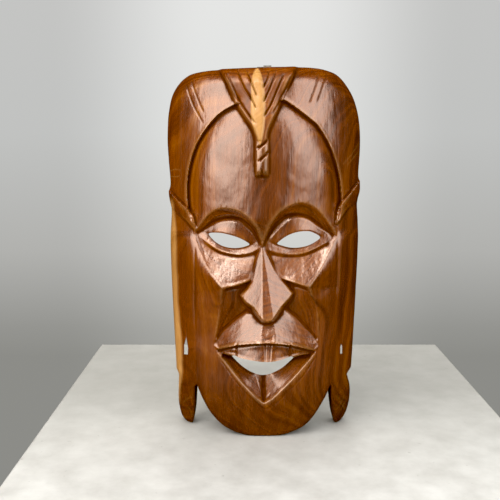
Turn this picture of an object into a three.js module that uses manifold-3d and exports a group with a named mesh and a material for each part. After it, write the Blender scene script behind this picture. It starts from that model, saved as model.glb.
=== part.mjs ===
// Carved wooden wall mask: one hollow-backed half log with a metal ring hanger let into its back.
// Millimetres, +Z up. The face looks along -Y, and the flat back rim lies in a plane of constant Y.
// The relief is given as points (x, z, depth), where depth is measured forward from the back plane.
import * as THREE from 'three';
import * as BufferGeometryUtils from 'three/addons/utils/BufferGeometryUtils.js';
import { ConvexGeometry } from 'three/addons/geometries/ConvexGeometry.js';
import Module from 'manifold-3d';

// ---------- driving dimensions ----------
const WOOD_TOP = 323.6; // height of the wood, chin to sawn top
const DEPTH = 73; // back rim to nose tip
const BACK_Y = DEPTH / 2; // the back plane, with the whole part centred on Y
const GAP = 0.3; // clearance between touching pieces
const REACH = DEPTH + 12; // how far in front of the back plane every cut starts
const CORE = 30; // carved lumps are rooted this deep, well inside the wood

const LOG = { radius: 107, crown: 60, halfWidth: 90 }; // the log that the half block was split from
const LOG_GRID = [20, 36]; // cells over x and z
const TOP_LEAN = { from: 235, rate: 0.001 }; // how the front leans back above this height
const CHIN_LEAN = { from: 60, rate: 0.0028 }; // and how it curls under below this one
const FOREHEAD_DROP = 3; // forehead below the hair
const LOCK_RISE = 3; // hair lock above the hair, along the middle of the mask
const LOCK_SPREAD = 0.0015; // how much flatter across the hair lock is than the log
const EAR_RISE = 3;
const FACE_FLOOR = 47; // depth of the eye sockets and of the hollows beside the nose
const CHIN_FLAT = 0.7; // how much of the chin and pendant tips is worn flat

const HOLLOW = { cz: 152, rx: 67, rz: 126, power: 3.2, depth: 37, sides: 40, rings: 7 };

const HANGER_X = 3;
const AXIS_Z = WOOD_TOP + 2; // ring axis, just proud of the sawn top
const RECESS = { width: 24, foot: 287, depth: 7 };
const STRAP = { width: 7, leaf: 1.6, foot: 291, curlInner: 1.4, curlOuter: 2.2 };
const WIRE = 2; // ring wire across its flats
const RING = { width: 18, drop: 17, restTilt: THREE.MathUtils.degToRad(9) };
const SCREW = { shank: 1.25, head: 2.6, headHeight: 1.1, length: 13 };
const SCREW_Z = [303.5, 295.5];

const STRAP_Y = -RECESS.depth + GAP; // front face of the strap, measured from the back plane
const AXIS_Y = STRAP_Y + STRAP.curlOuter;

const wasm = await Module();
wasm.setup();

// ---------- solids ----------
function solidOf(geometry) {
  const bare = geometry.index ? geometry.toNonIndexed() : geometry.clone();
  bare.deleteAttribute('normal');
  bare.deleteAttribute('uv');
  const merged = BufferGeometryUtils.mergeVertices(bare, 1e-4);
  return new wasm.Manifold(new wasm.Mesh({
    numProp: 3,
    vertProperties: new Float32Array(merged.attributes.position.array),
    triVerts: new Uint32Array(merged.index.array),
  }));
}

function geometryOf(solid) {
  const mesh = solid.getMesh();
  const geometry = new THREE.BufferGeometry();
  geometry.setAttribute('position', new THREE.BufferAttribute(mesh.vertProperties, 3));
  geometry.setIndex(new THREE.BufferAttribute(mesh.triVerts, 1));
  return geometry;
}

const union = (solids) => solids.reduce((a, b) => a.add(b));

// Convex lump of wood: its carved corners, each repeated at the core depth.
function lump(corners, core = CORE) {
  const points = [];
  for (const [x, z, depth] of corners) {
    points.push(new THREE.Vector3(x, -depth, z), new THREE.Vector3(x, -core, z));
  }
  return solidOf(new ConvexGeometry(points));
}

// Convex cut: its carved corners, each repeated in front of the wood.
const scoop = (corners) => lump(corners, REACH);

// The half log, leaning back a little at the sawn top and under the chin.
function logDepth(x, z) {
  const across = LOG.radius - Math.sqrt(LOG.radius ** 2 - x ** 2);
  const top = TOP_LEAN.rate * Math.max(0, z - TOP_LEAN.from) ** 2;
  const chin = CHIN_LEAN.rate * Math.max(0, CHIN_LEAN.from - z) ** 2;
  return LOG.crown - across - top - chin;
}

// Closed block with the log's own surface in front, raised by rise(x, z), and a flat back at y = 0.
function logBlock(rise) {
  const [nx, nz] = LOG_GRID;
  const box = new THREE.BoxGeometry(2 * LOG.halfWidth, 1, WOOD_TOP + 8, nx, 1, nz);
  box.translate(0, 0, WOOD_TOP / 2);
  const p = box.attributes.position;
  for (let i = 0; i < p.count; i++) {
    const [x, z] = [p.getX(i), p.getZ(i)];
    p.setY(i, p.getY(i) > 0 ? 0 : -logDepth(x, z) - rise(x, z));
  }
  return solidOf(box);
}

// Prism of an (x, z) shape along Y, from in front of the wood to yBack.
function prism(shape, yBack = 5, yFront = -REACH) {
  const geometry = new THREE.ExtrudeGeometry(shape, {
    depth: yBack - yFront, bevelEnabled: false, curveSegments: 10, steps: 1,
  });
  geometry.rotateX(Math.PI / 2); // shape (x, y) -> (x, z), depth -> -Y
  geometry.translate(0, yBack, 0);
  return geometry;
}

// A slit that leans as it goes back and opens out towards the hollow, about the point (x, z, depth).
function slit(shape, [x, z, depth], leanX, leanZ, flare) {
  const geometry = prism(shape, 2);
  const p = geometry.attributes.position;
  for (let i = 0; i < p.count; i++) {
    const back = p.getY(i) + depth;
    const grow = 1 + flare * Math.max(0, back);
    p.setX(i, x + (p.getX(i) - x) * grow + leanX * back);
    p.setZ(i, z + (p.getZ(i) - z) * grow + leanZ * back);
  }
  return solidOf(geometry);
}

const polygon = (points) => new THREE.Shape(points.map(([x, z]) => new THREE.Vector2(x, z)));

// ---------- outlines, drawn in (x, z) ----------
// Whole mask: rounded shoulders, ear tips, sides, notches, ear pendants and chin.
function outlineShape() {
  const foot = -CHIN_FLAT;
  const shape = new THREE.Shape();
  shape.moveTo(0, WOOD_TOP - 1);
  shape.lineTo(24, WOOD_TOP);
  shape.lineTo(40, WOOD_TOP - 0.5);
  shape.bezierCurveTo(67, WOOD_TOP - 3, 84, 304, 85.6, 268);
  shape.lineTo(84.4, 231);
  shape.quadraticCurveTo(88.3, 219, 83, 205);
  shape.quadraticCurveTo(86.5, 180, 84.5, 140);
  shape.lineTo(80.5, 56);
  shape.lineTo(76, 51);
  shape.quadraticCurveTo(84, 25, 77, 5);
  shape.quadraticCurveTo(73, foot - 0.4, 67, foot + 1);
  shape.quadraticCurveTo(61, 20, 59.9, 44);
  shape.bezierCurveTo(48, 12, 32, foot - 1, 0, foot - 1);
  shape.bezierCurveTo(-31, foot - 1, -48, 12, -61, 45);
  shape.quadraticCurveTo(-61, 18, -67, foot + 1);
  shape.quadraticCurveTo(-73, foot - 0.4, -77, 6);
  shape.quadraticCurveTo(-80.5, 26, -77.5, 50);
  shape.lineTo(-80, 55);
  shape.lineTo(-84, 140);
  shape.quadraticCurveTo(-86, 180, -83, 205);
  shape.quadraticCurveTo(-87, 216, -83.6, 225);
  shape.lineTo(-86, 270);
  shape.bezierCurveTo(-85, 300, -72, 318, -53, 320);
  shape.lineTo(-28, 321.6);
  shape.closePath();
  return shape;
}

// The forehead: two arcs that rise from the ears to the foot of the hair lock.
function foreheadShape() {
  const shape = new THREE.Shape();
  shape.moveTo(-62, 182);
  shape.lineTo(-68, 205);
  shape.bezierCurveTo(-68, 255, -48, 278, -25, 291);
  shape.lineTo(18, 296);
  shape.bezierCurveTo(46, 278, 71, 250, 71, 205);
  shape.lineTo(64, 180);
  return shape;
}

const lockShape = () => polygon([[-40, 330], [-9, 266], [-8, 233], [3, 233], [3, 266], [30, 330]]);

// What is cut back from the face: sockets under the arched brows, down to the mouth.
function faceShape() {
  const shape = new THREE.Shape();
  shape.moveTo(-60, 183);
  shape.bezierCurveTo(-46, 216, -16, 214, -2, 172);
  shape.bezierCurveTo(10, 218, 50, 222, 62, 180);
  shape.lineTo(44, 148);
  shape.lineTo(34, 132);
  shape.lineTo(46, 84);
  shape.lineTo(44, 76);
  shape.lineTo(-40, 78);
  shape.lineTo(-42, 90);
  shape.lineTo(-31, 131);
  shape.lineTo(-43, 148);
  return shape;
}

function eyeShape(a, above, b, below) {
  const shape = new THREE.Shape();
  shape.moveTo(...a);
  shape.quadraticCurveTo(...below, ...b);
  shape.quadraticCurveTo(...above, ...a);
  return shape;
}

function mouthShape() {
  const shape = new THREE.Shape();
  shape.moveTo(-28, 77);
  shape.quadraticCurveTo(-12, 60, 0, 60);
  shape.quadraticCurveTo(12, 60, 26, 74);
  shape.quadraticCurveTo(4, 71, -28, 77);
  return shape;
}

// ---------- carved features ----------
const nose = () => lump([
  [-2, 174, 50], [-3, 111, 72.4], [6, 111, DEPTH], [-3, 108, 66], [6, 108, 66],
  [-20, 128, 57], [24, 131, 57], [-14, 121, 56], [16, 122, 56],
]);

const cheeks = () => [
  lump([[-59, 181, 40], [-44, 171, 43], [-24, 166, 46], [-5, 170, 49], [-44, 146, 57], [-36, 138, 62],
    [-12, 143, 58]]),
  lump([[60, 178, 40], [42, 169, 44], [22, 165, 46], [4, 169, 49], [45, 147, 57], [37, 139, 62],
    [16, 144, 58]]),
];

const upperLids = () => [
  lump([[-49, 186, 45], [-40, 195, 48], [-22, 195, 50], [-12, 183, 50], [-40, 188, 50], [-22, 188, 53],
    [-13, 176, 49], [-47, 181, 46]]),
  lump([[50, 184, 45], [42, 194, 48], [24, 198, 50], [12, 186, 50], [40, 190, 50], [24, 191, 53],
    [10, 178, 49], [47, 179, 46]]),
];

const lips = () => [
  lump([[-42, 90, 53], [-9, 116, 57], [-2, 115, 57], [-42, 80, 54], [-22, 86, 65], [-2, 89, 69]]),
  lump([[-3, 116, 56], [10, 117, 56], [-3, 89, 68], [10, 89, 68]]),
  lump([[45, 86, 53], [17, 120, 57], [9, 117, 57], [45, 79, 54], [27, 85, 65], [9, 89, 69]]),
];

// Two flat rows of teeth that meet on the centre line, set back under the lip.
const teeth = () => [
  lump([[-37, 80, 53], [-37, 77, 53], [-16, 87, 61], [-16, 73, 61], [3, 88, 63], [3, 71.5, 63]]),
  lump([[41, 80, 53], [41, 76, 53], [24, 86, 60], [24, 73, 60], [3, 88, 63], [3, 71.5, 63]]),
];

// The lower lip is cut inwards as a pointed, three-sided basin.
const lipBasin = () => scoop([
  [-40, 78, 55], [44, 76, 54], [-1, 34, 60], [-20, 76, 49], [22, 74, 49], [0, 62, 48],
]);

const teethRoom = () => scoop([
  [-41, 80, 52], [44, 78, 52], [3, 71, 54], [3, 87, 54], [-22, 85, 52], [26, 84, 52],
]);

// Scooped back: a dome with a squarish outline, open to the back plane.
function backHollow() {
  const { cz, rx, rz, power, depth, sides, rings } = HOLLOW;
  const profile = [];
  for (let i = 0; i <= rings; i++) {
    const a = (i / rings) * (Math.PI / 2);
    const r = Math.sin(a);
    profile.push(new THREE.Vector2(r, -depth * Math.sqrt(1 - r ** 4)));
  }
  profile.push(new THREE.Vector2(1, 4), new THREE.Vector2(0, 4));
  const dome = new THREE.LatheGeometry(profile, sides);
  const p = dome.attributes.position;
  const square = (v, r) => Math.sign(v) * Math.abs(v / r) ** (2 / power) * r;
  for (let i = 0; i < p.count; i++) {
    const [x, z] = [p.getX(i), p.getZ(i)];
    const r = Math.hypot(x, z) || 1;
    p.setX(i, rx * square(x, r));
    p.setZ(i, cz + rz * square(z, r));
  }
  return solidOf(dome);
}

// Rod along Y from yFront to yBack, whose axis passes through (x, z).
function rodAlongY(radius, x, z, yFront, yBack, sides = 16) {
  const geometry = new THREE.CylinderGeometry(radius, radius, yBack - yFront, sides);
  geometry.translate(x, (yFront + yBack) / 2, z);
  return solidOf(geometry);
}

// ---------- pieces ----------
function maskCarving() {
  const forehead = solidOf(prism(foreheadShape()));
  const ears = union([
    solidOf(prism(polygon([[-92, 222], [-60, 197], [-60, 184], [-92, 207]]))),
    solidOf(prism(polygon([[92, 231], [64, 200], [64, 186], [92, 212]]))),
  ]);
  const lock = (x) => LOCK_RISE + LOCK_SPREAD * x * x;

  let wood = logBlock(() => 0).subtract(forehead);
  wood = wood.add(logBlock(() => -FOREHEAD_DROP));
  wood = wood.add(logBlock(lock).intersect(solidOf(prism(lockShape()))));
  wood = wood.add(logBlock(() => EAR_RISE).intersect(ears));
  wood = wood.subtract(solidOf(prism(faceShape(), -FACE_FLOOR)));
  wood = union([wood, ...cheeks(), ...upperLids(), ...lips(), nose()]);
  wood = wood.subtract(teethRoom()).subtract(lipBasin());
  wood = union([wood, ...teeth()]);
  wood = wood.intersect(solidOf(prism(outlineShape())));
  const ground = new THREE.BoxGeometry(300, 300, 20);
  ground.translate(0, 0, -10);
  wood = wood.subtract(solidOf(ground)).subtract(backHollow());

  wood = wood.subtract(union([
    slit(eyeShape([-47, 183], [-30, 187], [-13, 175], [-34, 167]), [-30, 179, 48], 0, -0.13, 0.012),
    slit(eyeShape([10, 177], [32, 195], [47, 179], [26, 168]), [29, 178, 48], 0, -0.13, 0.012),
    slit(mouthShape(), [0, 68, 55], 0, -0.28, 0.006),
    slit(polygon([[-72, 71], [-67, 71], [-69.5, 88]]), [-69.5, 78, 33], -0.09, -0.28, 0.02),
    slit(polygon([[67.6, 71], [70.6, 71], [70, 83], [68.4, 83]]), [69.3, 77, 33], 0.12, -0.28, 0.03),
  ]));

  const [left, right] = [HANGER_X - RECESS.width / 2, HANGER_X + RECESS.width / 2];
  const top = WOOD_TOP + 5;
  const recess = polygon([[left, RECESS.foot], [right, RECESS.foot], [right, top], [left, top]]);
  wood = wood.subtract(solidOf(prism(recess, 2, -RECESS.depth)));
  for (const z of SCREW_Z) {
    const tip = STRAP_Y - SCREW.length - GAP;
    wood = wood.subtract(rodAlongY(SCREW.shank + GAP, HANGER_X, z, tip, -1));
  }
  return geometryOf(wood);
}

// Metal strip folded over the ring's bar: a curl above a double leaf with two screw holes.
function hangerStrap() {
  const { leaf, foot, curlInner, curlOuter, width } = STRAP;
  const start = Math.PI + Math.acos((curlOuter - leaf) / curlOuter); // where the leaf runs into the curl
  const shape = new THREE.Shape(); // drawn in (y, z)
  shape.absarc(AXIS_Y, AXIS_Z, curlOuter, start, Math.PI, false);
  shape.lineTo(STRAP_Y, foot);
  shape.lineTo(STRAP_Y + leaf, foot);
  shape.closePath();
  const bore = new THREE.Path();
  bore.absarc(AXIS_Y, AXIS_Z, curlInner, 0, Math.PI * 2, false);
  shape.holes.push(bore);
  const geometry = new THREE.ExtrudeGeometry(shape, { depth: width, bevelEnabled: false, curveSegments: 20 });
  // shape (x, y) holds (y, z); the extrusion runs along X
  const turn = new THREE.Matrix4().set(0, 0, 1, HANGER_X - width / 2, 1, 0, 0, 0, 0, 1, 0, 0, 0, 0, 0, 1);
  geometry.applyMatrix4(turn);
  let strap = solidOf(geometry);
  for (const z of SCREW_Z) {
    strap = strap.subtract(rodAlongY(SCREW.shank + GAP, HANGER_X, z, STRAP_Y - 1, STRAP_Y + leaf + 1));
  }
  return geometryOf(strap);
}

// D-shaped wire ring, drawn hanging straight down from its own axis at the origin.
function hangerRing() {
  const half = RING.width / 2 - WIRE / 2;
  const inset = 0.6; // chamfer that rounds the wire
  const band = WIRE / 2 - inset;
  const loop = (grow) => {
    const s = new THREE.Shape();
    const r = half + grow;
    s.moveTo(-r, grow);
    s.lineTo(-r, -(RING.drop - half));
    s.absarc(0, -(RING.drop - half), r, Math.PI, Math.PI * 2, false);
    s.lineTo(r, grow);
    s.closePath();
    return s;
  };
  const shape = loop(band);
  shape.holes.push(loop(-band));
  const geometry = new THREE.ExtrudeGeometry(shape, {
    depth: WIRE - 2 * inset, bevelEnabled: true, bevelThickness: inset, bevelSize: inset,
    bevelSegments: 1, curveSegments: 12,
  });
  geometry.translate(0, 0, -(WIRE - 2 * inset) / 2);
  geometry.rotateX(Math.PI / 2);
  return geometryOf(solidOf(geometry));
}

// Domed wood screw, head towards +Y, with its shank running forward into the wood.
function hangerScrew() {
  const { shank, head, headHeight, length } = SCREW;
  const profile = [
    [0, -length], [shank * 0.5, 1.5 - length], [shank, 4 - length], [shank, 0],
    [head, 0], [head * 0.94, headHeight * 0.5], [head * 0.6, headHeight], [0, headHeight],
  ];
  const points = profile.map(([r, y]) => new THREE.Vector2(r, y));
  return geometryOf(solidOf(new THREE.LatheGeometry(points, 16)));
}

// ---------- assembly ----------
const wood = new THREE.MeshStandardMaterial({ color: 0x8a4a12, roughness: 0.4, metalness: 0 });
const steel = new THREE.MeshStandardMaterial({ color: 0x8d8a82, roughness: 0.35, metalness: 1 });

function node(name, geometry, material) {
  const mesh = new THREE.Mesh(geometry, material.clone());
  mesh.name = name;
  return mesh;
}

const mask = new THREE.Group();
mask.name = 'wall_mask';
mask.position.y = BACK_Y;
mask.add(node('mask_carving', maskCarving(), wood));
mask.add(node('hanger_strap', hangerStrap(), steel));

const ring = node('hanger_ring', hangerRing(), steel);
ring.position.set(HANGER_X, AXIS_Y, AXIS_Z);
ring.rotation.x = RING.restTilt;
mask.add(ring);

for (const [name, z] of [['hanger_screw_upper', SCREW_Z[0]], ['hanger_screw_lower', SCREW_Z[1]]]) {
  const screw = node(name, hangerScrew(), steel);
  screw.position.set(HANGER_X, STRAP_Y + STRAP.leaf + GAP, z);
  mask.add(screw);
}

export default mask;
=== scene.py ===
import math

import bpy
import numpy as np
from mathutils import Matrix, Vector
from mathutils.geometry import delaunay_2d_cdt


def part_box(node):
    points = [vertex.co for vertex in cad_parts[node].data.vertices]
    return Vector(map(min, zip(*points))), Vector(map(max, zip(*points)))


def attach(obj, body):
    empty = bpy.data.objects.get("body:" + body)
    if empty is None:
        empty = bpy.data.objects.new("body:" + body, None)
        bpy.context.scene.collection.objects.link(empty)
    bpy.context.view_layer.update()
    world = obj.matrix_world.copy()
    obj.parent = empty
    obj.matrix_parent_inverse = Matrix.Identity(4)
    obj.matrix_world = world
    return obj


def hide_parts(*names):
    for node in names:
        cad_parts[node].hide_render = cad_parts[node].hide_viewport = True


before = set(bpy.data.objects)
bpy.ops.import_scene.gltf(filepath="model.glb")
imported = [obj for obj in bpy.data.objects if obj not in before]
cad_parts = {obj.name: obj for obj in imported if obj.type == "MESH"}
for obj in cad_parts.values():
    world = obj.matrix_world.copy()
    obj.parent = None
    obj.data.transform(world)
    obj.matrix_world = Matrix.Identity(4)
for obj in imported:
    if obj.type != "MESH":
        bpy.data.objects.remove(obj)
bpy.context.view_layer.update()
bpy.ops.object.select_all(action="DESELECT")

MM = 0.001

# ---------- the block of wood, in millimetres ----------
# x to the right, z up, depth forward from the flat back. The face looks along -Y.
wood_low, wood_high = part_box("mask_carving")
BACK_Y = wood_high[1] / MM
WOOD_TOP = wood_high[2] / MM
WOOD_DEPTH = (wood_high[1] - wood_low[1]) / MM

# the log that the block was split from, and how its front leans back at the top and under the chin:
# the height where the lean starts, and its rate
LOG_RADIUS = 107
LOG_CROWN = 60
TOP_LEAN = (235, 0.001)
CHIN_LEAN = (60, 0.0028)

HOLLOW = {"cz": 152, "rx": 67, "rz": 126, "power": 3.2, "depth": 37}
GOUGE = 7.5  # width of the gouge that scooped the back
THINNEST = 7  # least wood left between the hollow and the face

HANGER_X = 3
SCREW_Z = (303.5, 295.5)
SCREW_HOLE = 1.35
RECESS = {"half": 12, "foot": 285, "top": 333, "depth": 7}
CLEAR_FRONT = 90  # depths that are clear of the wood, before it and behind it
CLEAR_BACK = -5

TRIANGLES = 180000
CREASE = 40  # degrees; sharper edges than this are shaded as edges

# the grid of cells that holds every depth of the carving
CELL = 0.6
xs = np.arange(-90, 90.1, CELL)
zs = np.arange(-3, WOOD_TOP + 4, CELL)
X, Z = np.meshgrid(xs, zs)


# ---------- drawing tools ----------
def smooth(points, closed=False, steps=6):
    """Points along a smooth curve through the given points, of two or three numbers each."""
    p = np.array(points, float)
    if closed:
        p = np.vstack([p[-1:], p, p[:2]])
    else:
        p = np.vstack([2 * p[:1] - p[1:2], p, 2 * p[-1:] - p[-2:-1]])
    t = (np.arange(steps) / steps)[:, None]
    out = []
    for a, b, c, d in zip(p[:-3], p[1:-2], p[2:-1], p[3:]):
        out.append(0.5 * (2 * b + (c - a) * t + (2 * a - 5 * b + 4 * c - d) * t ** 2
                          + (3 * b - a - 3 * c + d) * t ** 3))
    if not closed:
        out.append(p[-2:-1])
    return np.vstack(out)


def distance(line, closed=False):
    """Distance of every cell from a line of points."""
    line = np.array(line, float)[:, :2]
    if closed:
        line = np.vstack([line, line[:1]])
    best = np.full(X.shape, 1e9)
    for (ax, az), (bx, bz) in zip(line[:-1], line[1:]):
        dx, dz = bx - ax, bz - az
        t = np.clip(((X - ax) * dx + (Z - az) * dz) / (dx * dx + dz * dz + 1e-12), 0, 1)
        np.minimum(best, (X - ax - t * dx) ** 2 + (Z - az - t * dz) ** 2, out=best)
    return np.sqrt(best)


def depth_inside(outline):
    """Distance from a closed outline: positive inside, negative outside."""
    line = np.array(outline, float)[:, :2]
    inside = np.zeros(X.shape, bool)
    for (ax, az), (bx, bz) in zip(line, np.roll(line, -1, axis=0)):
        if az != bz:
            crosses = (az > Z) != (bz > Z)
            inside ^= crosses & (X < (bx - ax) * (Z - az) / (bz - az) + ax)
    reach = distance(line, closed=True)
    return np.where(inside, reach, -reach)


def ease(low, high, value):
    t = np.clip((value - low) / (high - low), 0, 1)
    return t * t * (3 - 2 * t)


def blur(field, radius):
    """Softens a field over a radius in millimetres."""
    reach = int(3 * radius / CELL) + 1
    kernel = np.exp(-0.5 * (np.arange(-reach, reach + 1) * CELL / radius) ** 2)
    kernel /= kernel.sum()
    rows, columns = field.shape
    padded = np.pad(field, reach, mode="edge")
    down = sum(w * padded[i:i + rows] for i, w in enumerate(kernel))
    return sum(w * down[:, i:i + columns] for i, w in enumerate(kernel))


def groove(line, width, deep, fade=4):
    """Depth of a V cut along a line, fading out at both ends."""
    line = smooth(line)
    cut = deep * np.clip(1 - distance(line) / (width / 2), 0, 1)
    for end in (line[0], line[-1]):
        cut = cut * ease(0, fade, np.hypot(X - end[0], Z - end[1]) + 0.5)
    return cut


def unevenness(seed, size, amount):
    """Slow hand-made waviness: soft noise of a given size in millimetres."""
    field = blur(np.random.default_rng(seed).normal(size=X.shape), size)
    return amount * field / field.std()


# ---------- outlines and cut lines, (x, z) ----------
OUTLINE = np.vstack([
    smooth([(24, 323.6), (42, 323.4), (54, 321.6), (64, 317.8), (73.2, 308.6), (80, 295), (84, 281),
            (85.6, 266), (85.4, 250), (84.2, 233), (85.4, 226), (85.8, 218), (83.6, 210), (83.4, 203),
            (84.6, 188), (85, 170), (84.3, 140), (82.6, 98), (80.5, 56)]),
    smooth([(76, 51), (79.6, 38), (80.4, 26), (79.2, 14), (76.4, 5), (72.2, 0.6), (69, -0.6)]),
    smooth([(66.6, 0.8), (64, 8), (61.6, 26), (59.9, 44)]),
    smooth([(58.8, 43), (56, 35.4), (50, 24.6), (44, 15.4), (36.7, 7.8), (27, 3), (14.9, 0.2), (0, -0.9),
            (-15, -0.2), (-29.6, 3.9), (-39.3, 9.8), (-47.7, 19.1), (-53.8, 29.7), (-60.3, 44.5)]),
    smooth([(-62, 42), (-62.5, 28), (-63.8, 10), (-66, 0.6)]),
    smooth([(-68, -0.6), (-73, 0.4), (-76.4, 4.5), (-78.2, 12), (-79, 24), (-78.2, 40), (-77.5, 50)]),
    smooth([(-80, 55), (-82, 100), (-83.5, 140), (-84, 175), (-82.6, 200), (-84.4, 210), (-85, 217),
            (-83.4, 225), (-85, 245), (-86, 264), (-84.8, 286), (-79.2, 305.6), (-68, 317), (-53, 320.8),
            (-28, 322), (0, 322.8)]),
])
LEFT_ARC = smooth([(-23, 292.5), (-31.5, 288.3), (-39.5, 282.8), (-50.5, 270.7), (-59.5, 255.3), (-65, 237.5),
                   (-67, 219.5), (-66, 203)])
RIGHT_ARC = smooth([(16, 295), (24, 290), (38.4, 279.5), (45.2, 273.5), (55.4, 257.5), (63, 237.5),
                    (66.5, 218), (66.5, 203)])
LOCK = np.vstack([
    smooth([(-42, 328), (-31, 306), (-25, 292), (-18, 281), (-11, 270), (-8.2, 260)]),
    smooth([(3, 260), (3.5, 268), (7, 277), (13, 290), (19, 304), (30, 328)]),
])
LEAF = smooth([(-6.5, 322), (-9.8, 317), (-11.7, 309), (-11.6, 298), (-12, 287), (-11.2, 277), (-8.8, 270),
               (-6.5, 264), (-4.2, 258.5), (-2, 265), (-0.6, 274), (0, 286), (-0.3, 300), (-2, 311),
               (-4, 318)], closed=True)
LEFT_EYE = smooth([(-47, 182.6), (-40.4, 183.6), (-33.5, 182.8), (-25.4, 180.7), (-18.5, 177.8), (-13, 173.8),
                   (-16.5, 171.8), (-23, 170.6), (-30, 170.8), (-37, 172.8), (-43, 177)], closed=True)
RIGHT_EYE = smooth([(11, 174.3), (15, 178.4), (20.8, 182), (27.7, 184.3), (34.6, 185), (40.3, 184.2),
                    (47, 179.8), (43, 175.7), (37, 172.6), (30, 171), (23, 170.8), (16.2, 172.2)],
                   closed=True)
MOUTH = smooth([(-27.3, 77.2), (-20.9, 75.8), (-11.6, 74.5), (1.3, 73.5), (11.7, 74.3), (24.6, 76),
                (17.6, 67.7), (9.5, 62.3), (2.5, 59.7), (-5.7, 60), (-15.1, 64.7), (-22, 70.6)], closed=True)
LEFT_EAR_SLIT = [(-71.8, 71.6), (-68.4, 71.2), (-68, 78), (-69.6, 87.8), (-71.6, 80)]
RIGHT_EAR_SLIT = [(68.5, 72), (70.4, 72.2), (70.3, 79), (69.2, 81.5), (68.5, 79)]

LOCK_GROOVES = [
    [(-15.5, 321), (-11, 308), (-6.5, 297)],
    [(-23, 321), (-17.5, 306), (-12, 297), (-7, 287)],
    [(-32, 318), (-25.5, 303), (-19, 291), (-7.5, 275)],
    [(-38, 320), (-30, 305)],
    [(3.5, 320), (1.5, 312), (-2, 304)],
    [(9.5, 320), (4, 305), (-2.2, 292)],
    [(16, 318), (6, 294), (-1.5, 281)],
    [(22, 316), (13, 296), (6, 283)],
]
SLASHES = [[(2.5, 263), (-1, 259.5), (-6.5, 255.5)], [(2.8, 252.5), (-1, 249), (-5, 245)]]
HAIR_LINES = [
    [(-67.5, 312), (-65.7, 305), (-60.8, 291.8), (-52, 276.3)],
    [(-63.3, 314), (-59.6, 303.8), (-55.2, 292.9), (-51.4, 285)],
    [(45.5, 318), (42.5, 307), (36.5, 291.8)],
    [(54, 320), (48.1, 304.9), (43.5, 293)],
    [(26.5, 322), (24, 314.8), (20, 305)],
]
SCRATCHES = [
    [(-84, 235), (-78, 237), (-73, 236.5)], [(-84, 230.5), (-78, 230.5), (-74, 231.5)],
    [(83, 259), (76, 250), (68, 242)], [(83, 252), (78, 247), (72, 241)],
    [(-74, 23), (-69.5, 28.5), (-65, 32)], [(-70, 20), (-67, 16), (-66, 11)],
    [(66, 33), (71, 24), (76, 14)], [(74, 30), (69, 20), (66, 17)], [(76, 24), (70, 13)],
]

# ---------- the face: ridges and valleys that its flat cuts run between, (x, z, depth) ----------
LEFT_BROW = [(-60, 183, 40.5), (-56.1, 188.6, 43), (-51.5, 195, 46), (-46.9, 200, 48.8), (-41.2, 203.5, 51.4),
             (-34.4, 205, 54), (-27.5, 204.2, 56), (-20.7, 202, 57.4), (-14, 197.3, 58.2), (-9.3, 192, 58.3),
             (-5.3, 186, 57.6), (-2, 173, 53.5)]
RIGHT_BROW = [(-2, 173, 53.5), (1.6, 184.5, 57.4), (6.2, 194, 58.4), (12, 201.2, 58.2), (19.1, 206.5, 57.3),
              (27, 209.3, 55.6), (34, 209.2, 53.4), (41, 206.2, 50.6), (48, 200, 47.4), (54, 193, 44.2),
              (59, 186, 41.2), (62, 180, 39.5)]
LEFT_CHEEK_RIDGE = [(-60, 183, 40.5), (-57.5, 171, 45), (-53, 159.5, 49.5), (-46, 148, 54.5),
                    (-36.5, 137.5, 60)]
RIGHT_CHEEK_RIDGE = [(62, 180, 39.5), (58, 170, 44.5), (53, 160, 49), (46.5, 149, 54.5), (38, 138, 60)]
LEFT_SMILE = [(-36.5, 137.5, 60), (-36.8, 133, 57.8), (-38, 124, 55), (-40.4, 112.5, 53),
              (-41.8, 102, 51.5), (-43.2, 92, 50), (-44, 84, 49.5)]
RIGHT_SMILE = [(38, 138, 60), (39.4, 133.5, 57.4), (43, 127, 54.2), (46, 118.5, 51.5), (47.3, 107, 49.6),
               (47.6, 95, 48.2), (48, 83, 47.5)]
LEFT_BASIN = [(-44, 84, 49.5), (-39.6, 77.5, 51), (-30.3, 64.7, 54.4), (-18.6, 50.1, 57), (-6.8, 37.9, 57.6),
              (-0.4, 33.4, 57.3)]
RIGHT_BASIN = [(-0.4, 33.4, 57.3), (6.1, 36.7, 57.6), (20.2, 50.1, 56.8), (32.9, 63.5, 53.6),
               (43.3, 75.6, 49.8), (48, 83, 47.5)]

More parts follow.
